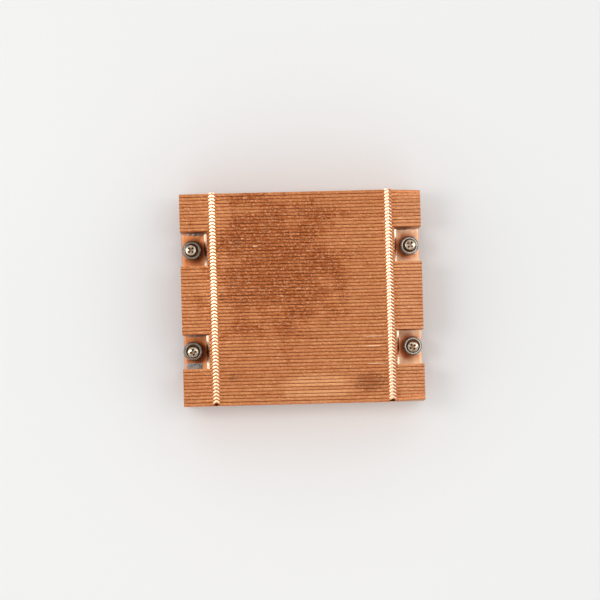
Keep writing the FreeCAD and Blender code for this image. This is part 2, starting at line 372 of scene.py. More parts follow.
def base_block():
    """The base plate's own faces, merged, with every edge broken by a small bevel."""
    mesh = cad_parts["base_plate"].data.copy()
    obj = new_object("base_block", mesh)
    work = bmesh.new()
    work.from_mesh(mesh)
    bmesh.ops.remove_doubles(work, verts=work.verts, dist=1e-6)
    bmesh.ops.dissolve_limit(
        work, angle_limit=math.radians(1), verts=work.verts, edges=work.edges
    )
    work.to_mesh(mesh)
    work.free()
    edge = obj.modifiers.new("broken edges", "BEVEL")
    edge.width = BASE_BEVEL
    edge.segments = 2
    edge.limit_method = "ANGLE"
    edge.angle_limit = math.radians(30)
    edge.use_clamp_overlap = True
    return finish_mesh(obj, 30)


# ---- solder ----


def lumpy(x, y, scale, seed):
    """Smooth random field between about -1 and 1: a sum of sines in slanting directions."""
    source = np.random.default_rng(seed)
    total = np.zeros(np.broadcast(x, y).shape)
    for _ in range(9):
        angle = source.uniform(0, math.pi)
        wave = source.uniform(0.6, 2.2) / scale
        phase = source.uniform(0, 2 * math.pi)
        total += np.sin(2 * math.pi * wave * (x * math.cos(angle) + y * math.sin(angle)) + phase)
    return total / 4


def solder_run(x0, x1, wall, leg, seed):
    """Fillet of solder along x: at each place a bulging quarter section between floor and wall,
    whose legs grow and shrink at random, drawn in to nothing at both ends."""
    x = np.linspace(x0, x1, 46)
    swell = 0.66 + 0.34 * lumpy(x, 0 * x, FILLET_LUMPS, seed)
    ends = np.clip(np.minimum(x - x0, x1 - x) / FILLET_END, 0.05, 1) ** 0.5
    size = np.clip(leg * swell * ends, FILLET_LEAST, leg)
    turn = np.linspace(0, math.pi / 2, 7)[None, :]
    bulge = 1 - 0.22 * np.sin(2 * turn)
    out = size[:, None] * np.cos(turn) * bulge
    up = size[:, None] * np.sin(turn) * bulge
    corner = np.zeros((len(x), 1))
    y = wall - np.concatenate([out, corner], axis=1)
    z = POCKET_FLOOR + np.concatenate([up, corner], axis=1)
    points = np.stack([np.broadcast_to(x[:, None], y.shape), y, z], axis=2).reshape(-1, 3)
    return points, tube_faces(*y.shape)


def solder_pool(low, high, seed):
    """Thin pool on the floor: its top rises from a ragged edge to a lumpy middle."""
    x = np.linspace(low[0], high[0], 44)
    y = np.linspace(low[1], high[1], 20)
    px, py = np.meshgrid(x, y, indexing="ij")
    ragged = POOL_RAGGED * (1 + lumpy(px, py, POOL_RAGS, seed))
    edge_x = np.minimum(px - low[0], high[0] - px)
    edge_y = high[1] - py
    inward = np.clip((np.minimum(edge_x, edge_y) - ragged) / POOL_EDGE, 0, 1)
    lump = np.clip(0.55 + 0.45 * lumpy(px, py, POOL_LUMPS, seed + 1), 0.12, 1)
    top = POCKET_FLOOR + (high[2] - POCKET_FLOOR) * (0.06 + 0.94 * inward ** 0.6 * lump)
    count = px.size
    upper = np.stack([px, py, top], axis=2).reshape(-1, 3)
    lower = upper * (1, 1, 0) + (0, 0, POCKET_FLOOR)
    quads = grid_faces(len(x), len(y))
    grid = np.arange(count).reshape(len(x), len(y))
    rim = np.concatenate([grid[:, 0], grid[-1, 1:], grid[-2::-1, -1], grid[0, -2:0:-1]])
    following = np.roll(rim, -1)
    sides = np.column_stack([rim, following, following + count, rim + count])
    faces = np.concatenate([quads, quads[:, ::-1] + count, sides])
    return np.concatenate([upper, lower]), faces.tolist()


def solder_residue():
    """Fillets along the rear walls of three pockets, and a pool at the front of the front left
    one."""
    end = SOLDER_HIGH.x
    rear = SOLDER_HIGH.y
    front = SOLDER_LOW.y
    pool_low = (POOL_INSET - end, front)
    pool_high = (POOL_INSET + POOL_LENGTH - end, front + POOL_WIDTH, POCKET_FLOOR + POOL_DEPTH)
    pieces = (
        solder_run(FILLET_INSET - end, -POCKET_START, rear, FILLET_WIDE, 3),
        solder_run(-end, -POCKET_START, FRONT_NOTCH_END, FILLET_NARROW, 5),
        solder_run(POCKET_START, end, rear, FILLET_THIN, 8),
        solder_pool(pool_low, pool_high, 21),
    )
    obj = mesh_object("solder_runs", *joined(pieces))
    weld(obj, 1e-7)
    finish_mesh(obj, 60)
    place(obj, "heatsink", SOLDER, "solder_residue")


# ---- fasteners ----


def turned(name, profile, centre, steps, closed=True, depth=None):
    """Surface of revolution: each (radius, height) of the profile is carried round the axis. Where
    depth is given, the radius falls by that much times a triangle wave of height over the lead
    less the share of the turn, which makes a thread."""
    r, z = np.array(profile).T
    angle = np.linspace(0, 2 * math.pi, steps, endpoint=False)
    radius = np.repeat(r[:, None], steps, axis=1)
    if depth is not None:
        share = np.mod(z[:, None] / THREAD_LEAD - angle[None, :] / (2 * math.pi), 1)
        radius = radius - np.array(depth)[:, None] * np.abs(2 * share - 1)
    x = centre[0] + radius * np.cos(angle)
    y = centre[1] + radius * np.sin(angle)
    points = np.stack([x, y, np.repeat(z[:, None], steps, axis=1)], axis=2).reshape(-1, 3)
    faces = grid_faces(len(r), steps, wrap_rows=closed, wrap_columns=True)
    obj = mesh_object(name, points, faces)
    weld(obj)
    return obj


def rounded_profile(corners):
    """A closed profile from its corners, each given as radius, height and rounding: four points of
    a quadratic curve stand for each corner."""
    made = []
    for i, (*point, rounding) in enumerate(corners):
        corner = np.array(point)
        ends = []
        for neighbour in (corners[i - 1], corners[(i + 1) % len(corners)]):
            side = np.array(neighbour[:2]) - corner
            ends.append(corner + side / np.linalg.norm(side) * rounding)
        for t in np.linspace(0, 1, 4):
            made.append((1 - t) ** 2 * ends[0] + 2 * t * (1 - t) * corner + t ** 2 * ends[1])
    return made


def slot_cutter(centre, top, angle):
    """Cutter for two opposite arms of the driver recess: a bar whose sides and ends taper."""
    corners = np.array([(-1, -1), (1, -1), (1, 1), (-1, 1)])
    upper = np.column_stack([corners * BAR_TOP, np.full(4, top + 0.2 * MM)])
    lower = np.column_stack([corners * BAR_LOW, np.full(4, top - BAR_DEPTH)])
    points = np.concatenate([upper, lower])
    c, s = math.cos(angle), math.sin(angle)
    points[:, :2] = points[:, :2] @ np.array([[c, s], [-s, c]]) + np.array(centre[:2])
    faces = [(0, 1, 2, 3), (7, 6, 5, 4), (0, 4, 5, 1), (1, 5, 6, 2), (2, 6, 7, 3), (3, 7, 4, 0)]
    obj = mesh_object("bar", points, faces)
    weld(obj)
    return obj


def screw_profile(thread_top, seat, head_top):
    """Rows of (radius, height) up a screw from the middle of its tip to the middle of its head,
    with the thread's depth at each: a bevelled tip, the thread, the neck and the crowned head."""
    rows = [(0, 0), (THREAD_R - TIP_INSET, 0)]
    depth = [0, 0]
    for z in np.linspace(TIP_RISE, thread_top - THREAD_END, 52):
        rows.append((THREAD_R, z))
        depth.append(THREAD_DEPTH * min(1, (thread_top - z) / THREAD_FADE))
    rows += [(THREAD_R - THREAD_END, thread_top), (NECK_R, thread_top), (NECK_R, seat)]
    rows += [(HEAD_R - HEAD_BEVEL, seat), (HEAD_R, seat + HEAD_BEVEL)]
    inside = HEAD_R - HEAD_ROUND
    shoulder = head_top - HEAD_CROWN - HEAD_ROUND
    for turn in np.linspace(0, math.pi / 2, 7):
        rows.append((inside + HEAD_ROUND * math.cos(turn), shoulder + HEAD_ROUND * math.sin(turn)))
    for share in (0.8, 0.55, 0.3, 0.0):
        rows.append((inside * share, head_top - HEAD_CROWN * share ** 2))
    return rows, depth + [0] * (len(rows) - len(depth))


def screw(corner):
    """Captive screw with a cross-shaped driver recess in its head."""
    node = "captive_screw_" + corner
    low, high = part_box(node)
    centre = (low + high) / 2
    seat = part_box("cup_washer_" + corner)[1].z - SINK_DEPTH
    thread_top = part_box("retaining_clip_" + corner)[0].z - CLIP_GAP
    rows, depth = screw_profile(thread_top, seat, high.z)
    obj = turned("screw_" + corner, rows, centre, steps=64, closed=False, depth=depth)
    cutters = []
    for quarter in (0, math.pi / 2):
        cutters.append(slot_cutter(centre, high.z, DRIVER_ANGLES[corner] + quarter))
        cut = obj.modifiers.new("recess", "BOOLEAN")
        cut.operation = "DIFFERENCE"
        cut.solver = "EXACT"
        cut.object = cutters[-1]
    finish_mesh(obj, 32)
    for cutter in cutters:
        mesh = cutter.data
        bpy.data.objects.remove(cutter)
        bpy.data.meshes.remove(mesh)
    place(obj, "screw_" + corner, SCREW_STEEL, node)


def washer(corner):
    """Cup washer: bevelled outer edge, a flat rim with a raised inner lip, and the recess."""
    node = "cup_washer_" + corner
    low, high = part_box(node)
    outer = (high.x - low.x) / 2
    rim = high.z - LIP_RISE
    floor = high.z - SINK_DEPTH
    corners = (
        (BORE_R, low.z, 0.08 * MM),
        (outer, low.z, 0.15 * MM),
        (outer, high.z - 0.35 * MM, 0.1 * MM),
        (outer - 0.42 * MM, rim, 0.08 * MM),
        (SINK_R + 0.42 * MM, rim, 0.03 * MM),
        (SINK_R + 0.3 * MM, high.z, 0.03 * MM),
        (SINK_R + 0.08 * MM, high.z, 0.03 * MM),
        (SINK_R, high.z - 0.12 * MM, 0.03 * MM),
        (SINK_R, floor, 0.1 * MM),
        (BORE_R, floor, 0.08 * MM),
    )
    obj = turned("washer_ring_" + corner, rounded_profile(corners), (low + high) / 2, steps=80)
    finish_mesh(obj, 30)
    place(obj, "washer_" + corner, WASHER_STEEL, node)


def coil_rise(turn, fitted):
    """Height of the wire's middle over its lowest place: flat, then one closed turn, then an even
    climb, the same from both ends."""
    top = fitted - WIRE
    closed = WIRE + COIL_GAP
    from_end = np.minimum(turn, TURNS - turn)
    near = closed * np.clip((from_end - 0.25) / 0.75, 0, 1)
    climb = (top / 2 - closed) * np.clip((from_end - 1) / (TURNS / 2 - 1), 0, None)
    rise = near + climb
    return np.where(turn > TURNS / 2, top - rise, rise)


def coil(corner):
    """Spring: a circle of the wire's radius carried along a helix with closed ends."""
    node = "spring_" + corner
    low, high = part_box(node)
    washer_low, washer_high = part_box("cup_washer_" + corner)
    centre = (washer_low + washer_high) / 2
    fitted = high.z - low.z
    steps, sides = round(TURNS * 36), 14
    turn = np.linspace(0, TURNS, steps + 1)[:, None]
    around = np.linspace(0, 2 * math.pi, sides, endpoint=False)[None, :]
    wire = WIRE / 2 * 0.995
    r = COIL_R - WIRE / 2 + wire * np.cos(around)
    angle = 2 * math.pi * turn
    x = centre.x + r * np.cos(angle)
    y = centre.y + r * np.sin(angle)
    z = low.z + WIRE / 2 + coil_rise(turn, fitted) + wire * np.sin(around)
    points = np.stack([x, y, z], axis=2).reshape(-1, 3)
    obj = mesh_object("coil_" + corner, points, tube_faces(steps + 1, sides))
    weld(obj)
    finish_mesh(obj, 50)
    place(obj, "heatsink", SPRING_STEEL, node)
    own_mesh(obj)


# ---- shader helpers ----


def wire_up(tree, socket, value):
    """Sets a socket to a value, or links another socket to it."""
    if isinstance(value, bpy.types.NodeSocket):
        tree.links.new(value, socket)
    else:
        socket.default_value = value


def add(tree, kind, inputs=None, **settings):
    """New shader node with its settings, and its inputs set to values or wired to sockets."""
    made = tree.nodes.new(kind)
    for name, value in settings.items():
        setattr(made, name, value)
    for name, value in (inputs or {}).items():
        wire_up(tree, made.inputs[name], value)
    return made


def calc(tree, operation, *values):
    """Result socket of a sum of the given kind."""
    inputs = dict(enumerate(values))
    return add(tree, "ShaderNodeMath", inputs, operation=operation).outputs[0]


def times(tree, first, *others):
    """Product of values."""
    product = first
    for value in others:
        product = calc(tree, "MULTIPLY", product, value)
    return product


def minus(tree, first, second):
    """First value less the second."""
    return calc(tree, "SUBTRACT", first, second)


def line(tree, value, slope, start):
    """Value times a slope, plus a start."""
    return calc(tree, "MULTIPLY_ADD", value, slope, start)


def highest(tree, values):
    """Highest of several values."""
    top = values[0]
    for value in values[1:]:
        top = calc(tree, "MAXIMUM", top, value)
    return top


def blend(tree, factor, first, second, mode="MIX"):
    """Colour between two colours, each a socket or its red, green and blue."""
    node = add(tree, "ShaderNodeMix", {0: factor}, data_type="RGBA", blend_type=mode)
    for index, colour in ((6, first), (7, second)):
        value = (*colour, 1) if isinstance(colour, tuple) else colour
        wire_up(tree, node.inputs[index], value)
    return node.outputs[2]


def span(tree, value, low, high, to_low=0.0, to_high=1.0):
    """Value brought smoothly from one range to another, and held at its ends."""
    inputs = {"Value": value, "From Min": low, "From Max": high, "To Min": to_low, "To Max": to_high}
    node = add(tree, "ShaderNodeMapRange", inputs, interpolation_type="SMOOTHSTEP")
    return node.outputs["Result"]


def vector_math(tree, operation, *vectors):
    """Vector node of the given kind."""
    return add(tree, "ShaderNodeVectorMath", dict(enumerate(vectors)), operation=operation)


def noise(tree, vector, scale, detail=3, roughness=0.55):
    """Noise value at a point, about 0.5 on average."""
    inputs = {"Vector": vector, "Scale": scale, "Detail": detail, "Roughness": roughness}
    return add(tree, "ShaderNodeTexNoise", inputs).outputs[0]


def new_group(name, vectors, floats, results):
    """Empty node group with named sockets: its tree, its inputs and its outputs."""
    group = bpy.data.node_groups.new(name, "ShaderNodeTree")
    ways = (("INPUT", "Vector", vectors), ("INPUT", "Float", floats), ("OUTPUT", "Float", results))
    for way, kind, labels in ways:
        for label in labels:
            group.interface.new_socket(label, in_out=way, socket_type="NodeSocket" + kind)
    return group, group.nodes.new("NodeGroupInput").outputs, group.nodes.new("NodeGroupOutput").inputs


def make_grain():
    """Marks drawn out in one direction, as rolling, brushing or milling leaves them."""
    group, given, result = new_group("Drawn grain", ("Point", "Density"), (), ("Grain", "Lines"))
    stretched = vector_math(group, "MULTIPLY", given["Point"], given["Density"]).outputs[0]
    soft = noise(group, stretched, 1, 4, 0.6)
    sharp = noise(group, stretched, 3.1, 2, 0.5)
    group.links.new(span(group, soft, 0.3, 0.7), result["Grain"])
    group.links.new(span(group, sharp, 0.58, 0.7), result["Lines"])
    return group


def make_blotch():
    """Ragged-edged patch: 1 inside an oval about a centre, fading to 0 across its edge."""
    vectors = ("Point", "Centre", "Half")
    group, given, result = new_group("Blotch", vectors, ("Ragged", "Scale"), ("Mask",))
    away = vector_math(group, "SUBTRACT", given["Point"], given["Centre"]).outputs[0]
    ratio = vector_math(group, "DIVIDE", away, given["Half"]).outputs[0]
    distance = vector_math(group, "LENGTH", ratio).outputs["Value"]
    cloud = noise(group, given["Point"], given["Scale"], 4, 0.6)
    shifted = times(group, minus(group, cloud, 0.5), given["Ragged"])
    edge = calc(group, "ADD", distance, shifted)
    group.links.new(span(group, edge, 1.15, 0.55), result["Mask"])
    return group


def make_specks():
    """Small scattered specks: 1 on a speck. Amount runs from 0, none, to 1, crowded."""
    group, given, result = new_group("Specks", ("Point",), ("Scale", "Amount"), ("Mask",))
    value = noise(group, given["Point"], given["Scale"], 1.5, 0.5)
    lifted = minus(group, value, line(group, given["Amount"], -0.3, 0.78))
    group.links.new(span(group, lifted, 0.0, 0.05), result["Mask"])
    return group


GRAIN = make_grain()
BLOTCH = make_blotch()
SPECKS = make_specks()


def use(tree, group, **inputs):
    """Outputs of a node group with these inputs."""
    return add(tree, "ShaderNodeGroup", inputs, node_tree=group).outputs


def patch(tree, point, oval, deep, ragged, scale):
    """Mask of one ragged patch on top of the fins. The oval is its place along and across, then
    its half size along and across, and deep is its half size in height, all in millimetres."""
    x, y, half_x, half_y = oval
    centre = Vector((x * MM, y * MM, FLANGE_TOP))
    half = Vector((half_x, half_y, deep)) * MM
    found = use(tree, BLOTCH, Point=point, Centre=centre, Half=half, Ragged=ragged, Scale=scale)
    return found["Mask"]


def new_material(name):
    """Material with an empty tree but for its shader, and the point on the piece."""
    material = bpy.data.materials.new(name)
    material.use_nodes = True
    tree = material.node_tree
    shader = next(n for n in tree.nodes if n.type == "BSDF_PRINCIPLED")
    point = add(tree, "ShaderNodeTexCoord").outputs["Object"]
    return material, tree, shader, point


def finish(tree, shader, **inputs):
    """Sets or wires the shader's inputs; underscores in a name stand for spaces."""
    for name, value in inputs.items():
        wire_up(tree, shader.inputs[name.replace("_", " ")], value)


def relief(tree, height, depth, strength):
    """Bump from a height of 0 to 1 that stands for depth metres."""
    inputs = {"Height": height, "Distance": depth, "Strength": strength}
    return add(tree, "ShaderNodeBump", inputs).outputs[0]


def axes(tree, point):
    """The point's three coordinates as separate sockets."""
    return add(tree, "ShaderNodeSeparateXYZ", {0: point}).outputs


def axis_distance(tree, x, y):
    """Distance of a point from the nearest screw's axis."""
    along = minus(tree, calc(tree, "ABSOLUTE", x), SCREW_AXIS.x)
    aside = minus(tree, calc(tree, "ABSOLUTE", y), SCREW_AXIS.y)
    squares = calc(tree, "ADD", times(tree, along, along), times(tree, aside, aside))
    return calc(tree, "SQRT", squares)


# ---- fin material ----

# Marks on the fins, in millimetres: place along and across, then half size along and across.
TARNISH = (-12.0, 16.0, 33.0, 34.0)
CLEAN_PATCH = (6.0, -40.5, 19.0, 6.5)
STAINS = (
    (-35.6, 1.4, 1.6, 2.4),
    (-31.6, -35.0, 2.6, 1.8),
    (-28.8, 26.0, 2.2, 3.6),
    (30.0, -38.5, 9.0, 4.5),
)
SCRATCHES = (
    (32.0, -18.0, 5.5, 0.22),
    (31.0, -22.3, 4.0, 0.22),
    (33.0, -30.2, 5.0, 0.22),
    (-26.1, 27.1, 0.7, 0.22),
    (-20.5, 23.6, 1.2, 0.22),
)
STAIN_BROWN = (0.20, 0.055, 0.018)


def strip_masks(tree, x, y, z):
    """Three masks: 1 on the stamped strips, 1 where a highlight is painted on them, and 1 along the
    rear edges of the right column's outer arms, where a thin highlight line is painted. A strip of
    the left column gets the painted highlight but for its front third, more widely toward the rear,
    and one of the right column on its inner arm near the ridge."""
    right = calc(tree, "GREATER_THAN", x, 0.0)
    from_ridge = minus(tree, calc(tree, "ABSOLUTE", x), LOCK_X)
    outward = calc(tree, "DIVIDE", from_ridge, LOCK_HALF_WIDTH)
    across = calc(tree, "ABSOLUTE", outward)
    back = times(tree, minus(tree, 1.0, across), LOCK_POINT)
    start = FRONT_LOW.y + STRIP_FRONT - 0.08 * MM
    along = minus(tree, minus(tree, y, start), back)
    phase = calc(tree, "FRACT", calc(tree, "DIVIDE", along, PITCH))

    toward_rear = span(tree, y, -20 * MM, 20 * MM)
    widening = times(tree, minus(tree, across, 0.45), toward_rear)
    left_start = line(tree, widening, 0.35, 0.36)
    inner_start = span(tree, outward, -0.15, -0.95, -0.2, 0.5)
    outer_start = span(tree, outward, 0.05, 0.35, -0.2, 1.3)
    from_left = times(tree, left_start, minus(tree, 1.0, right))
    from_right = times(tree, highest(tree, (inner_start, outer_start)), right)
    begin = calc(tree, "ADD", from_left, from_right)
    bright = span(tree, minus(tree, phase, begin), -0.02, 0.10)

    on_top = span(tree, z, FLANGE_TOP - 0.6 * MM, FLANGE_TOP - 0.3 * MM)
    strip = times(tree, span(tree, across, 1.0, 0.88), on_top)
    strip_glint = times(tree, strip, bright, span(tree, across, 0.90, 0.62))
    edge_glint = times(
        tree, strip, right, span(tree, phase, 0.66, 0.76), span(tree, outward, 0.1, 0.3),
        span(tree, y, 45 * MM, 36 * MM, 0.25, 1.0),
    )
    return strip, strip_glint, edge_glint


def tinning(tree, x, y, z, cloud):
    """Grey film of solder at the foot of the walls behind the two left notches, ragged above."""
    beside = span(tree, x, -NOTCH_WALL - 0.2 * MM, -NOTCH_WALL - 0.8 * MM)
    height = line(tree, cloud, 8 * MM, BASE_HIGH.z - 1 * MM)
    below = span(tree, minus(tree, z, height), 0.5 * MM, -0.5 * MM)
    near = []
    for wall in (REAR_NOTCH_END, FRONT_NOTCH_END):
        away = calc(tree, "ABSOLUTE", minus(tree, y, wall))
        near.append(span(tree, away, 0.45 * MM, 0.35 * MM))
    return times(tree, beside, below, highest(tree, near), 0.85)


def rolled_colour(tree, point, streaks, cloud, tone, top):
    """Colour of clean sheet: long streaks, soft clouds, each fin's own tone, paler walls."""
    long_streaks = use(tree, GRAIN, Point=point, Density=(16, 760, 200))["Grain"]
    colour = blend(tree, long_streaks, (0.37, 0.128, 0.040), (0.46, 0.188, 0.074))
    colour = blend(tree, span(tree, top, 0.0, 1.0, 0.65, 0.0), colour, (0.66, 0.285, 0.135))
    colour = blend(tree, times(tree, streaks, 0.3), colour, (0.55, 0.26, 0.115))
    colour = blend(tree, span(tree, cloud, 0.35, 0.65, 0.0, 0.22), colour, (0.33, 0.09, 0.025))
    return blend(tree, span(tree, tone, 0.0, 1.0, 0.0, 0.25), colour, (0.34, 0.11, 0.034))


def tarnished(tree, point, x, tarnish, dirty, colour):
    """The colour under brown tarnish, stains and mottling, and paler at the right ends."""
    colour = blend(tree, times(tree, tarnish, 0.36), colour, (0.27, 0.078, 0.022))
    colour = blend(tree, tarnish, colour, (1.0, 0.82, 0.62), "MULTIPLY")
    right_end = span(tree, x, LOCK_X + 2 * MM, LOCK_X + 6 * MM, 0.0, 0.13)
    colour = blend(tree, right_end, colour, (0.80, 0.45, 0.26))
    stain = highest(tree, [patch(tree, point, oval, 6, 1.1, 260) for oval in STAINS])
    colour = blend(tree, times(tree, stain, 0.55), colour, STAIN_BROWN)
    mottle = span(tree, noise(tree, point, 1350, 3, 0.7), 0.44, 0.62)
    return blend(tree, times(tree, mottle, dirty, 0.75), colour, STAIN_BROWN)


def specked(tree, point, dirty, top, colour):
    """The colour with small dark specks and bright specks painted as glints, few of them down the
    walls.
    """
    dark = use(tree, SPECKS, Point=point, Scale=1500, Amount=dirty)["Mask"]
    dark = times(tree, dark, span(tree, top, 0.0, 1.0, 0.2, 0.65))
    bright = use(tree, SPECKS, Point=point, Scale=1900, Amount=0.55)["Mask"]
    bright = times(tree, bright, span(tree, top, 0.0, 1.0, 0.06, 0.48))
    colour = blend(tree, dark, colour, (0.14, 0.04, 0.016))
    # Painted glints: the bright specks.
    return blend(tree, bright, colour, (0.95, 0.60, 0.36))


def flecked(tree, point, tarnish, top, colour):
    """The colour with fine brown flecks and pale flecks painted as small glints on the tops, heavier
    in the tarnish.
    """
    fleck = noise(tree, point, 1380, 3, 0.65)
    heavy = times(tree, top, line(tree, tarnish, 0.28, 0.25))
    pale = times(tree, span(tree, fleck, 0.55, 0.63), heavy)
    brown = times(tree, span(tree, fleck, 0.47, 0.37), heavy, 1.4)
    # Painted glints: the pale flecks.
    colour = blend(tree, pale, colour, (0.78, 0.39, 0.21))
    return blend(tree, brown, colour, (0.23, 0.042, 0.009))


def scratches(tree, point):
    """Long thin marks at the places listed, each broken up along its length."""
    masks = [patch(tree, point, oval, 3, 0.7, 900) for oval in SCRATCHES]
    return times(tree, highest(tree, masks), 0.6)


def fin_copper():
    """Satin rolled copper sheet: painted reddish shade in the seams between the fins, brown tarnish,
    stains and flecks over the middle, a cleaner patch near the front, and painted shade and
    highlights on the stamped strips."""
    material, tree, shader, point = new_material("Folded copper sheet")
    x, y, z = axes(tree, point)
    row = calc(tree, "DIVIDE", minus(tree, y, FRONT_LOW.y), PITCH)
    number = {"W": calc(tree, "FLOOR", row)}
    tone = add(tree, "ShaderNodeTexWhiteNoise", number, noise_dimensions="1D").outputs["Value"]
    fold = calc(tree, "FRACT", row)
    seam = highest(tree, (span(tree, fold, 0.36, 0.02), span(tree, fold, 0.93, 1.0)))
    seam = times(tree, seam, span(tree, z, FLANGE_TOP - 0.9 * MM, FLANGE_TOP - 0.35 * MM))
    top = span(tree, z, FLANGE_TOP - 2.5 * MM, FLANGE_TOP - 0.6 * MM)
    streaks = use(tree, GRAIN, Point=point, Density=(55, 2600, 700))
    cloud = noise(tree, point, 55, 4, 0.6)
    tarnish = patch(tree, point, TARNISH, 12, 2.6, 95)
    dirty = line(tree, tarnish, 0.55, 0.22)
    clean = patch(tree, point, CLEAN_PATCH, 6, 0.9, 300)
    clean = times(tree, clean, span(tree, tone, 0.15, 0.6, 0.25, 1.0))
    strip, strip_glint, edge_glint = strip_masks(tree, x, y, z)
    tinned = tinning(tree, x, y, z, cloud)

    colour = rolled_colour(tree, point, streaks["Grain"], cloud, tone, top)
    # Painted shade: a red tint in the upper folds that colours the shade between the fins.
    colour = blend(tree, times(tree, seam, 0.6), colour, (0.84, 0.155, 0.034))
    colour = tarnished(tree, point, x, tarnish, dirty, colour)
    colour = specked(tree, point, dirty, top, colour)
    colour = blend(tree, times(tree, clean, 0.4), colour, (0.78, 0.42, 0.20))
    colour = flecked(tree, point, tarnish, top, colour)
    # Painted shade: the strips are darkened brown, which shows on their rolled front thirds.
    colour = blend(tree, times(tree, strip, 0.6), colour, (0.52, 0.19, 0.066))
    # Painted highlight on the strips.
    colour = blend(tree, times(tree, strip_glint, 0.95), colour, (0.95, 0.58, 0.37))
    # Painted highlight along the outer arms' rear edges.
    colour = blend(tree, times(tree, edge_glint, 0.95), colour, (1.0, 0.88, 0.72))
    colour = blend(tree, scratches(tree, point), colour, (0.95, 0.66, 0.44))
    colour = blend(tree, tinned, colour, (0.56, 0.55, 0.53))

    rough = span(tree, streaks["Lines"], 0.0, 1.0, 0.42, 0.30)
    rough = line(tree, tarnish, 0.08, rough)
    rough = line(tree, tinned, 0.15, rough)
    rough = line(tree, strip_glint, -0.20, rough)
    ripple = line(tree, streaks["Grain"], 0.35, noise(tree, point, 420, 2, 0.5))
    height = times(tree, ripple, line(tree, strip, -0.8, 1.0))
    metallic = span(tree, tinned, 0.0, 0.85, 1.0, 0.35)
    normal = relief(tree, height, 0.00005, 0.6)
    finish(tree, shader, Base_Color=colour, Roughness=rough, Metallic=metallic, Normal=normal)
    return material


# ---- other materials ----


def milled_colour(tree, point, right, cloud, lines):
    """Colour of the milled faces: cutter lines, brown heat tint, specks, and painted light and shade,
    paler on the right and darker on the left.
    """
    # Painted light and shade: lit and shaded copies of the cutter-line colours, paler on the right.
    dark = blend(tree, right, (0.68, 0.22, 0.078), (0.97, 0.50, 0.295))
    light = blend(tree, right, (0.86, 0.36, 0.150), (1.0, 0.67, 0.43))
    broad = use(tree, GRAIN, Point=point, Density=(420, 30, 200))["Grain"]
    specks = use(tree, SPECKS, Point=point, Scale=1700, Amount=0.35)["Mask"]
    # Painted shade: the heat tint is heavier on the left.
    tint_and_shade = times(tree, span(tree, cloud, 0.42, 0.7, 0.0, 0.4), line(tree, right, -0.7, 1.0))
    colour = blend(tree, lines, dark, light)
    colour = blend(tree, times(tree, broad, 0.3), colour, light)
    colour = blend(tree, tint_and_shade, colour, (0.50, 0.15, 0.055))
    return blend(tree, times(tree, specks, 0.5), colour, (0.32, 0.10, 0.04))


def base_copper():
    """Milled copper: fine cutter lines across the floors, painted shadow round the screws that
    reaches up the slanting walls, and painted highlights on these walls, which are smoother."""
    material, tree, shader, point = new_material("Milled copper")
    x, y, z = axes(tree, point)
    facing = add(tree, "ShaderNodeTexCoord").outputs["Normal"]
    upward = calc(tree, "ABSOLUTE", axes(tree, facing)[2])
    from_middle = calc(tree, "ABSOLUTE", x)
    outer = span(tree, from_middle, BASE_HIGH.x - 2 * MM, BASE_HIGH.x - 1.5 * MM)
    slanting = times(
        tree, span(tree, upward, 0.85, 0.75), span(tree, upward, 0.55, 0.65),
        line(tree, outer, -0.7, 1.0),
    )
    lines = use(tree, GRAIN, Point=point, Density=(2600, 60, 900))
    cloud = noise(tree, point, 90, 4, 0.6)
    # Painted light and shade: 1 on the lit right side, 0 on the shaded left.
    right = span(tree, x, -40 * MM, 40 * MM)
    from_axis = axis_distance(tree, x, y)
    # Painted shadow round each screw on the floors, stronger on the side toward the fins.
    ring = times(
        tree, span(tree, from_axis, 7.2 * MM, 4.8 * MM), span(tree, cloud, 0.3, 0.6, 0.95, 0.70),
        span(tree, z, BASE_HIGH.z - 0.2 * MM, BASE_HIGH.z - 0.6 * MM),
        span(tree, from_middle, SCREW_AXIS.x + 1 * MM, SCREW_AXIS.x - 3 * MM, 0.45, 1.0),
    )
    # Painted shadow where the screws darken the slanting walls.
    wall_shadow = times(tree, span(tree, from_axis, 7.6 * MM, 6.8 * MM), slanting, 0.9)
    shadow_brown = blend(tree, right, (0.36, 0.065, 0.015), (0.84, 0.19, 0.035))

    colour = milled_colour(tree, point, right, cloud, lines["Grain"])
    colour = blend(tree, ring, colour, shadow_brown)
    # Painted highlight on the slanting walls.
    colour = blend(tree, times(tree, slanting, 0.95), colour, (1.0, 0.80, 0.62))
    colour = blend(tree, wall_shadow, colour, shadow_brown)
    colour = blend(tree, times(tree, outer, 0.15), colour, (0.60, 0.30, 0.15))
    rough = span(tree, lines["Lines"], 0.0, 1.0, 0.47, 0.34)
    rough = line(tree, slanting, -0.25, rough)
    normal = relief(tree, lines["Grain"], 0.00002, 0.5)
    finish(tree, shader, Base_Color=colour, Roughness=rough, Metallic=1.0, Normal=normal)
    return material


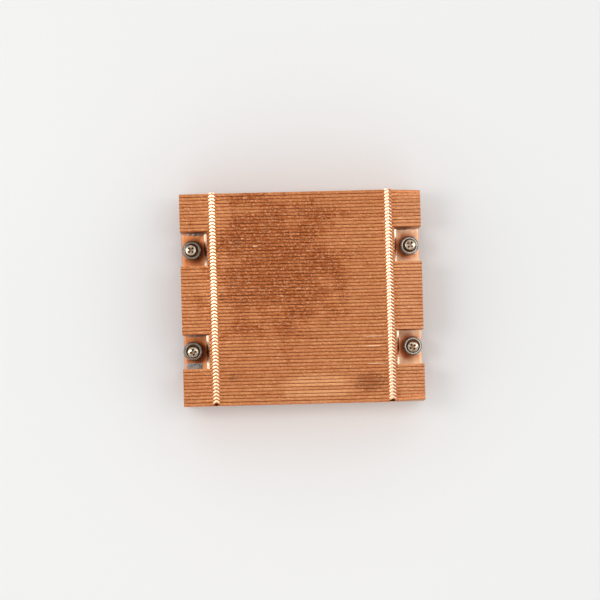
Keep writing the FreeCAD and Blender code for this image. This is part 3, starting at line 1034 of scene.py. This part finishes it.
def solder_metal():
    """Dull grey solder, mottled with copper-brown where the film is thin, and painted paler on the
    raised fillets, against the shade they stand in."""
    material, tree, shader, point = new_material("Dull solder")
    mottle = noise(tree, point, 900, 3, 0.6)
    fine = noise(tree, point, 3600, 2, 0.5)
    thin = span(tree, noise(tree, point, 620, 3, 0.6), 0.54, 0.66)
    height = axes(tree, point)[2]
    raised = span(tree, height, POCKET_FLOOR + 0.25 * MM, POCKET_FLOOR + 0.5 * MM, 0.0, 0.7)
    colour = blend(tree, span(tree, mottle, 0.35, 0.65), (0.31, 0.30, 0.29), (0.60, 0.58, 0.55))
    colour = blend(tree, times(tree, thin, 0.45), colour, (0.50, 0.27, 0.16))
    # Painted light: the fillets, which stand in shade, are made paler.
    colour = blend(tree, raised, colour, (0.88, 0.86, 0.82))
    rough = span(tree, fine, 0.3, 0.7, 0.38, 0.62)
    normal = relief(tree, mottle, 0.00012, 0.8)
    finish(tree, shader, Base_Color=colour, Roughness=rough, Metallic=0.45, Normal=normal)
    return material


def axis_masks(tree, point, radius, height):
    """Two masks: 1 inside the radius about a screw's axis, and 1 there for painted shade in the
    recess, which begins just below the height and thins out 2 mm lower."""
    x, y, z = axes(tree, point)
    near = span(tree, axis_distance(tree, x, y), radius, radius - 0.12 * MM)
    film = times(
        tree, near, span(tree, z, height, height - 0.15 * MM),
        span(tree, z, height - 2.2 * MM, height - 1.6 * MM),
    )
    return near, film


def rim_highlight_mask(tree, point, radius, lip, edge):
    """Mask of a highlight painted above the lip's height, and beyond the radius below the edge's
    height. It is stronger on the right, where more light falls."""
    x, y, z = axes(tree, point)
    on_lip = span(tree, z, lip - 0.02 * MM, lip + 0.02 * MM)
    beyond = span(tree, axis_distance(tree, x, y), radius, radius + 0.1 * MM)
    outside = times(tree, beyond, span(tree, z, edge + 0.02 * MM, edge - 0.03 * MM))
    strength = span(tree, x, -10 * MM, 10 * MM, 0.25, 0.8)
    return times(tree, highest(tree, (on_lip, outside)), strength)


def steel(name, dark, light, rough, density, pitting, recess_shade=None, rim_highlight=None):
    """Plated or bare steel: drawn marks, small pits and an uneven sheen. Where recess shade is given,
    as a radius, a height and a strength, there are rust spots about the axis and painted brown shade
    in the recess, paler on the right. Where rims are given, as a radius and two heights, a highlight
    is painted on them."""
    material, tree, shader, point = new_material(name)
    marks = use(tree, GRAIN, Point=point, Density=density)["Grain"]
    pits = use(tree, SPECKS, Point=point, Scale=2600, Amount=pitting)["Mask"]
    cloud = noise(tree, point, 620, 3, 0.6)
    colour = blend(tree, marks, dark, light)
    colour = blend(tree, span(tree, cloud, 0.47, 0.60, 0.0, 0.6), colour, dark)
    colour = blend(tree, times(tree, pits, 0.6), colour, tuple(0.35 * part for part in dark))
    sheen = span(tree, cloud, 0.3, 0.7, *rough)
    if recess_shade:
        radius, height, strength = recess_shade
        near, film = axis_masks(tree, point, radius, height)
        film = times(tree, film, strength)
        rust = span(tree, noise(tree, point, 1150, 2, 0.5), 0.53, 0.62, 0, 0.6)
        # Painted light: the brown shade in the recesses is paler on the right.
        right = span(tree, axes(tree, point)[0], -10 * MM, 10 * MM)
        brown = blend(tree, right, (0.075, 0.034, 0.015), (0.17, 0.060, 0.022))
        colour = blend(tree, times(tree, rust, near), colour, (0.36, 0.155, 0.055))
        # Painted shade: the recesses darkened brown.
        colour = blend(tree, film, colour, brown)
        sheen = line(tree, film, 0.25, sheen)
    if rim_highlight:
        # Painted highlight on the rims.
        colour = blend(tree, rim_highlight_mask(tree, point, *rim_highlight), colour, (0.66, 0.62, 0.57))
    normal = relief(tree, marks, 0.00002, 0.35)
    finish(tree, shader, Base_Color=colour, Roughness=sheen, Metallic=1.0, Normal=normal)
    return material


FIN_COPPER = fin_copper()
BASE_COPPER = base_copper()
SOLDER = solder_metal()
SCREW_STEEL = steel(
    "Nickel-plated screw steel", (0.25, 0.175, 0.105), (0.60, 0.54, 0.45),
    rough=(0.12, 0.26), density=(900, 900, 300), pitting=0.45,
    recess_shade=(1.8 * MM, SCREW_HIGH.z - 0.2 * MM, 0.62),
)
WASHER_STEEL = steel(
    "Grey washer steel", (0.090, 0.068, 0.049), (0.195, 0.160, 0.125),
    rough=(0.22, 0.38), density=(1200, 1200, 3000), pitting=0.40,
    recess_shade=(3.6 * MM, LIP_TOP - 0.12 * MM, 0.9),
    rim_highlight=(3.5 * MM, LIP_TOP - 0.05 * MM, LIP_TOP - 0.12 * MM),
)
SPRING_STEEL = steel(
    "Drawn spring steel", (0.34, 0.32, 0.30), (0.58, 0.56, 0.53),
    rough=(0.22, 0.38), density=(1500, 1500, 1500), pitting=0.35,
)
CLIP_STEEL = steel(
    "Blackened clip steel", (0.10, 0.10, 0.10), (0.20, 0.20, 0.20),
    rough=(0.30, 0.45), density=(1500, 700, 1500), pitting=0.30,
)


# ---- the object ----

first_fin = 0
for node, count in FIN_ROWS.items():
    place(fin_block(node, count, first_fin), "heatsink", FIN_COPPER, node)
    first_fin += count

place(base_block(), "heatsink", BASE_COPPER, "base_plate")
solder_residue()

for corner in DRIVER_ANGLES:
    screw(corner)
    washer(corner)
    coil(corner)
    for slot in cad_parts["retaining_clip_" + corner].material_slots:
        slot.material = CLIP_STEEL


# ---- floor, light and camera ----

FLOOR_HALF = 6.0
VIEW_ANGLES = (-17.66, 88.22, 16.21)  # azimuth, elevation and roll, in degrees
VIEW_DISTANCE = 1.5
VIEW_AIM = Vector((-0.899, -0.836, 25.0)) * MM
VIEW_LENS = 200.3


def pale_floor():
    """Wide pale floor under the screw tips."""
    corners = np.array([(-1, -1, 0), (1, -1, 0), (1, 1, 0), (-1, 1, 0)])
    floor = mesh_object("floor", FLOOR_HALF * corners, [(0, 1, 2, 3)])
    material, tree, shader, point = new_material("Pale paper")
    cloud = noise(tree, point, 3, 2, 0.5)
    colour = blend(tree, cloud, (0.86, 0.86, 0.86), (0.90, 0.90, 0.89))
    finish(tree, shader, Base_Color=colour, Roughness=0.9)
    floor.data.materials.append(material)


def soft_light(name, spot, aim, size, power):
    """Rectangular area lamp at a spot, aimed at a point: sides in metres, power in watts."""
    data = bpy.data.lights.new(name, "AREA")
    data.shape = "RECTANGLE"
    data.size, data.size_y = size
    data.energy = power
    lamp = new_object(name, data)
    lamp.location = spot
    lamp.rotation_mode = "QUATERNION"
    lamp.rotation_quaternion = (Vector(spot) - Vector(aim)).to_track_quat("Z", "Y")


def pale_world():
    """Even white surroundings, plain white where seen, mirrored or looked through, and a little
    dimmer in the light they throw on dull surfaces."""
    world = bpy.data.worlds.new("Surroundings")
    world.use_nodes = True
    tree = world.node_tree
    background = next(n for n in tree.nodes if n.type == "BACKGROUND")
    path = add(tree, "ShaderNodeLightPath").outputs
    rays = ("Is Camera Ray", "Is Transmission Ray", "Is Glossy Ray")
    shown = highest(tree, [path[ray] for ray in rays])
    strength = span(tree, shown, 0.0, 1.0, 0.84, 1.0)
    finish(tree, background, Color=(1, 1, 1, 1), Strength=strength)
    bpy.context.scene.world = world


def look():
    """Camera high above the object, a little to its front and left."""
    azimuth, elevation, roll = (math.radians(angle) for angle in VIEW_ANGLES)
    turn = Matrix.Rotation(azimuth, 4, "Z") @ Matrix.Rotation(math.pi / 2 - elevation, 4, "X")
    turn @= Matrix.Rotation(roll, 4, "Z")
    data = bpy.data.cameras.new("camera")
    data.lens = VIEW_LENS
    data.sensor_width = 36.0
    data.clip_start, data.clip_end = 0.05, 30.0
    camera = new_object("camera", data)
    away = Matrix.Translation((0, 0, VIEW_DISTANCE))
    camera.matrix_world = Matrix.Translation(VIEW_AIM) @ turn @ away
    bpy.context.scene.camera = camera


pale_floor()
pale_world()
soft_light("high left lamp", (-0.252, 0.035, 0.63), (0, 0, 0.03), (0.13, 0.22), 0.56)
soft_light("high right lamp", (0.205, 0.045, 0.63), (0, 0, 0.03), (0.10, 0.17), 0.24)
soft_light("top right lamp", (0.10, 0.03, 0.90), (0.04, 0, 0.02), (0.10, 0.16), 0.14)
soft_light("far left lamp", (-5.0, 0.012, 0.30), (0, 0, 0.02), (2.2, 0.55), 11.0)
soft_light("far right lamp", (5.0, 0.012, 0.30), (0, 0, 0.02), (2.2, 0.55), 14.0)
look()
bpy.context.scene.view_settings.view_transform = "Standard"
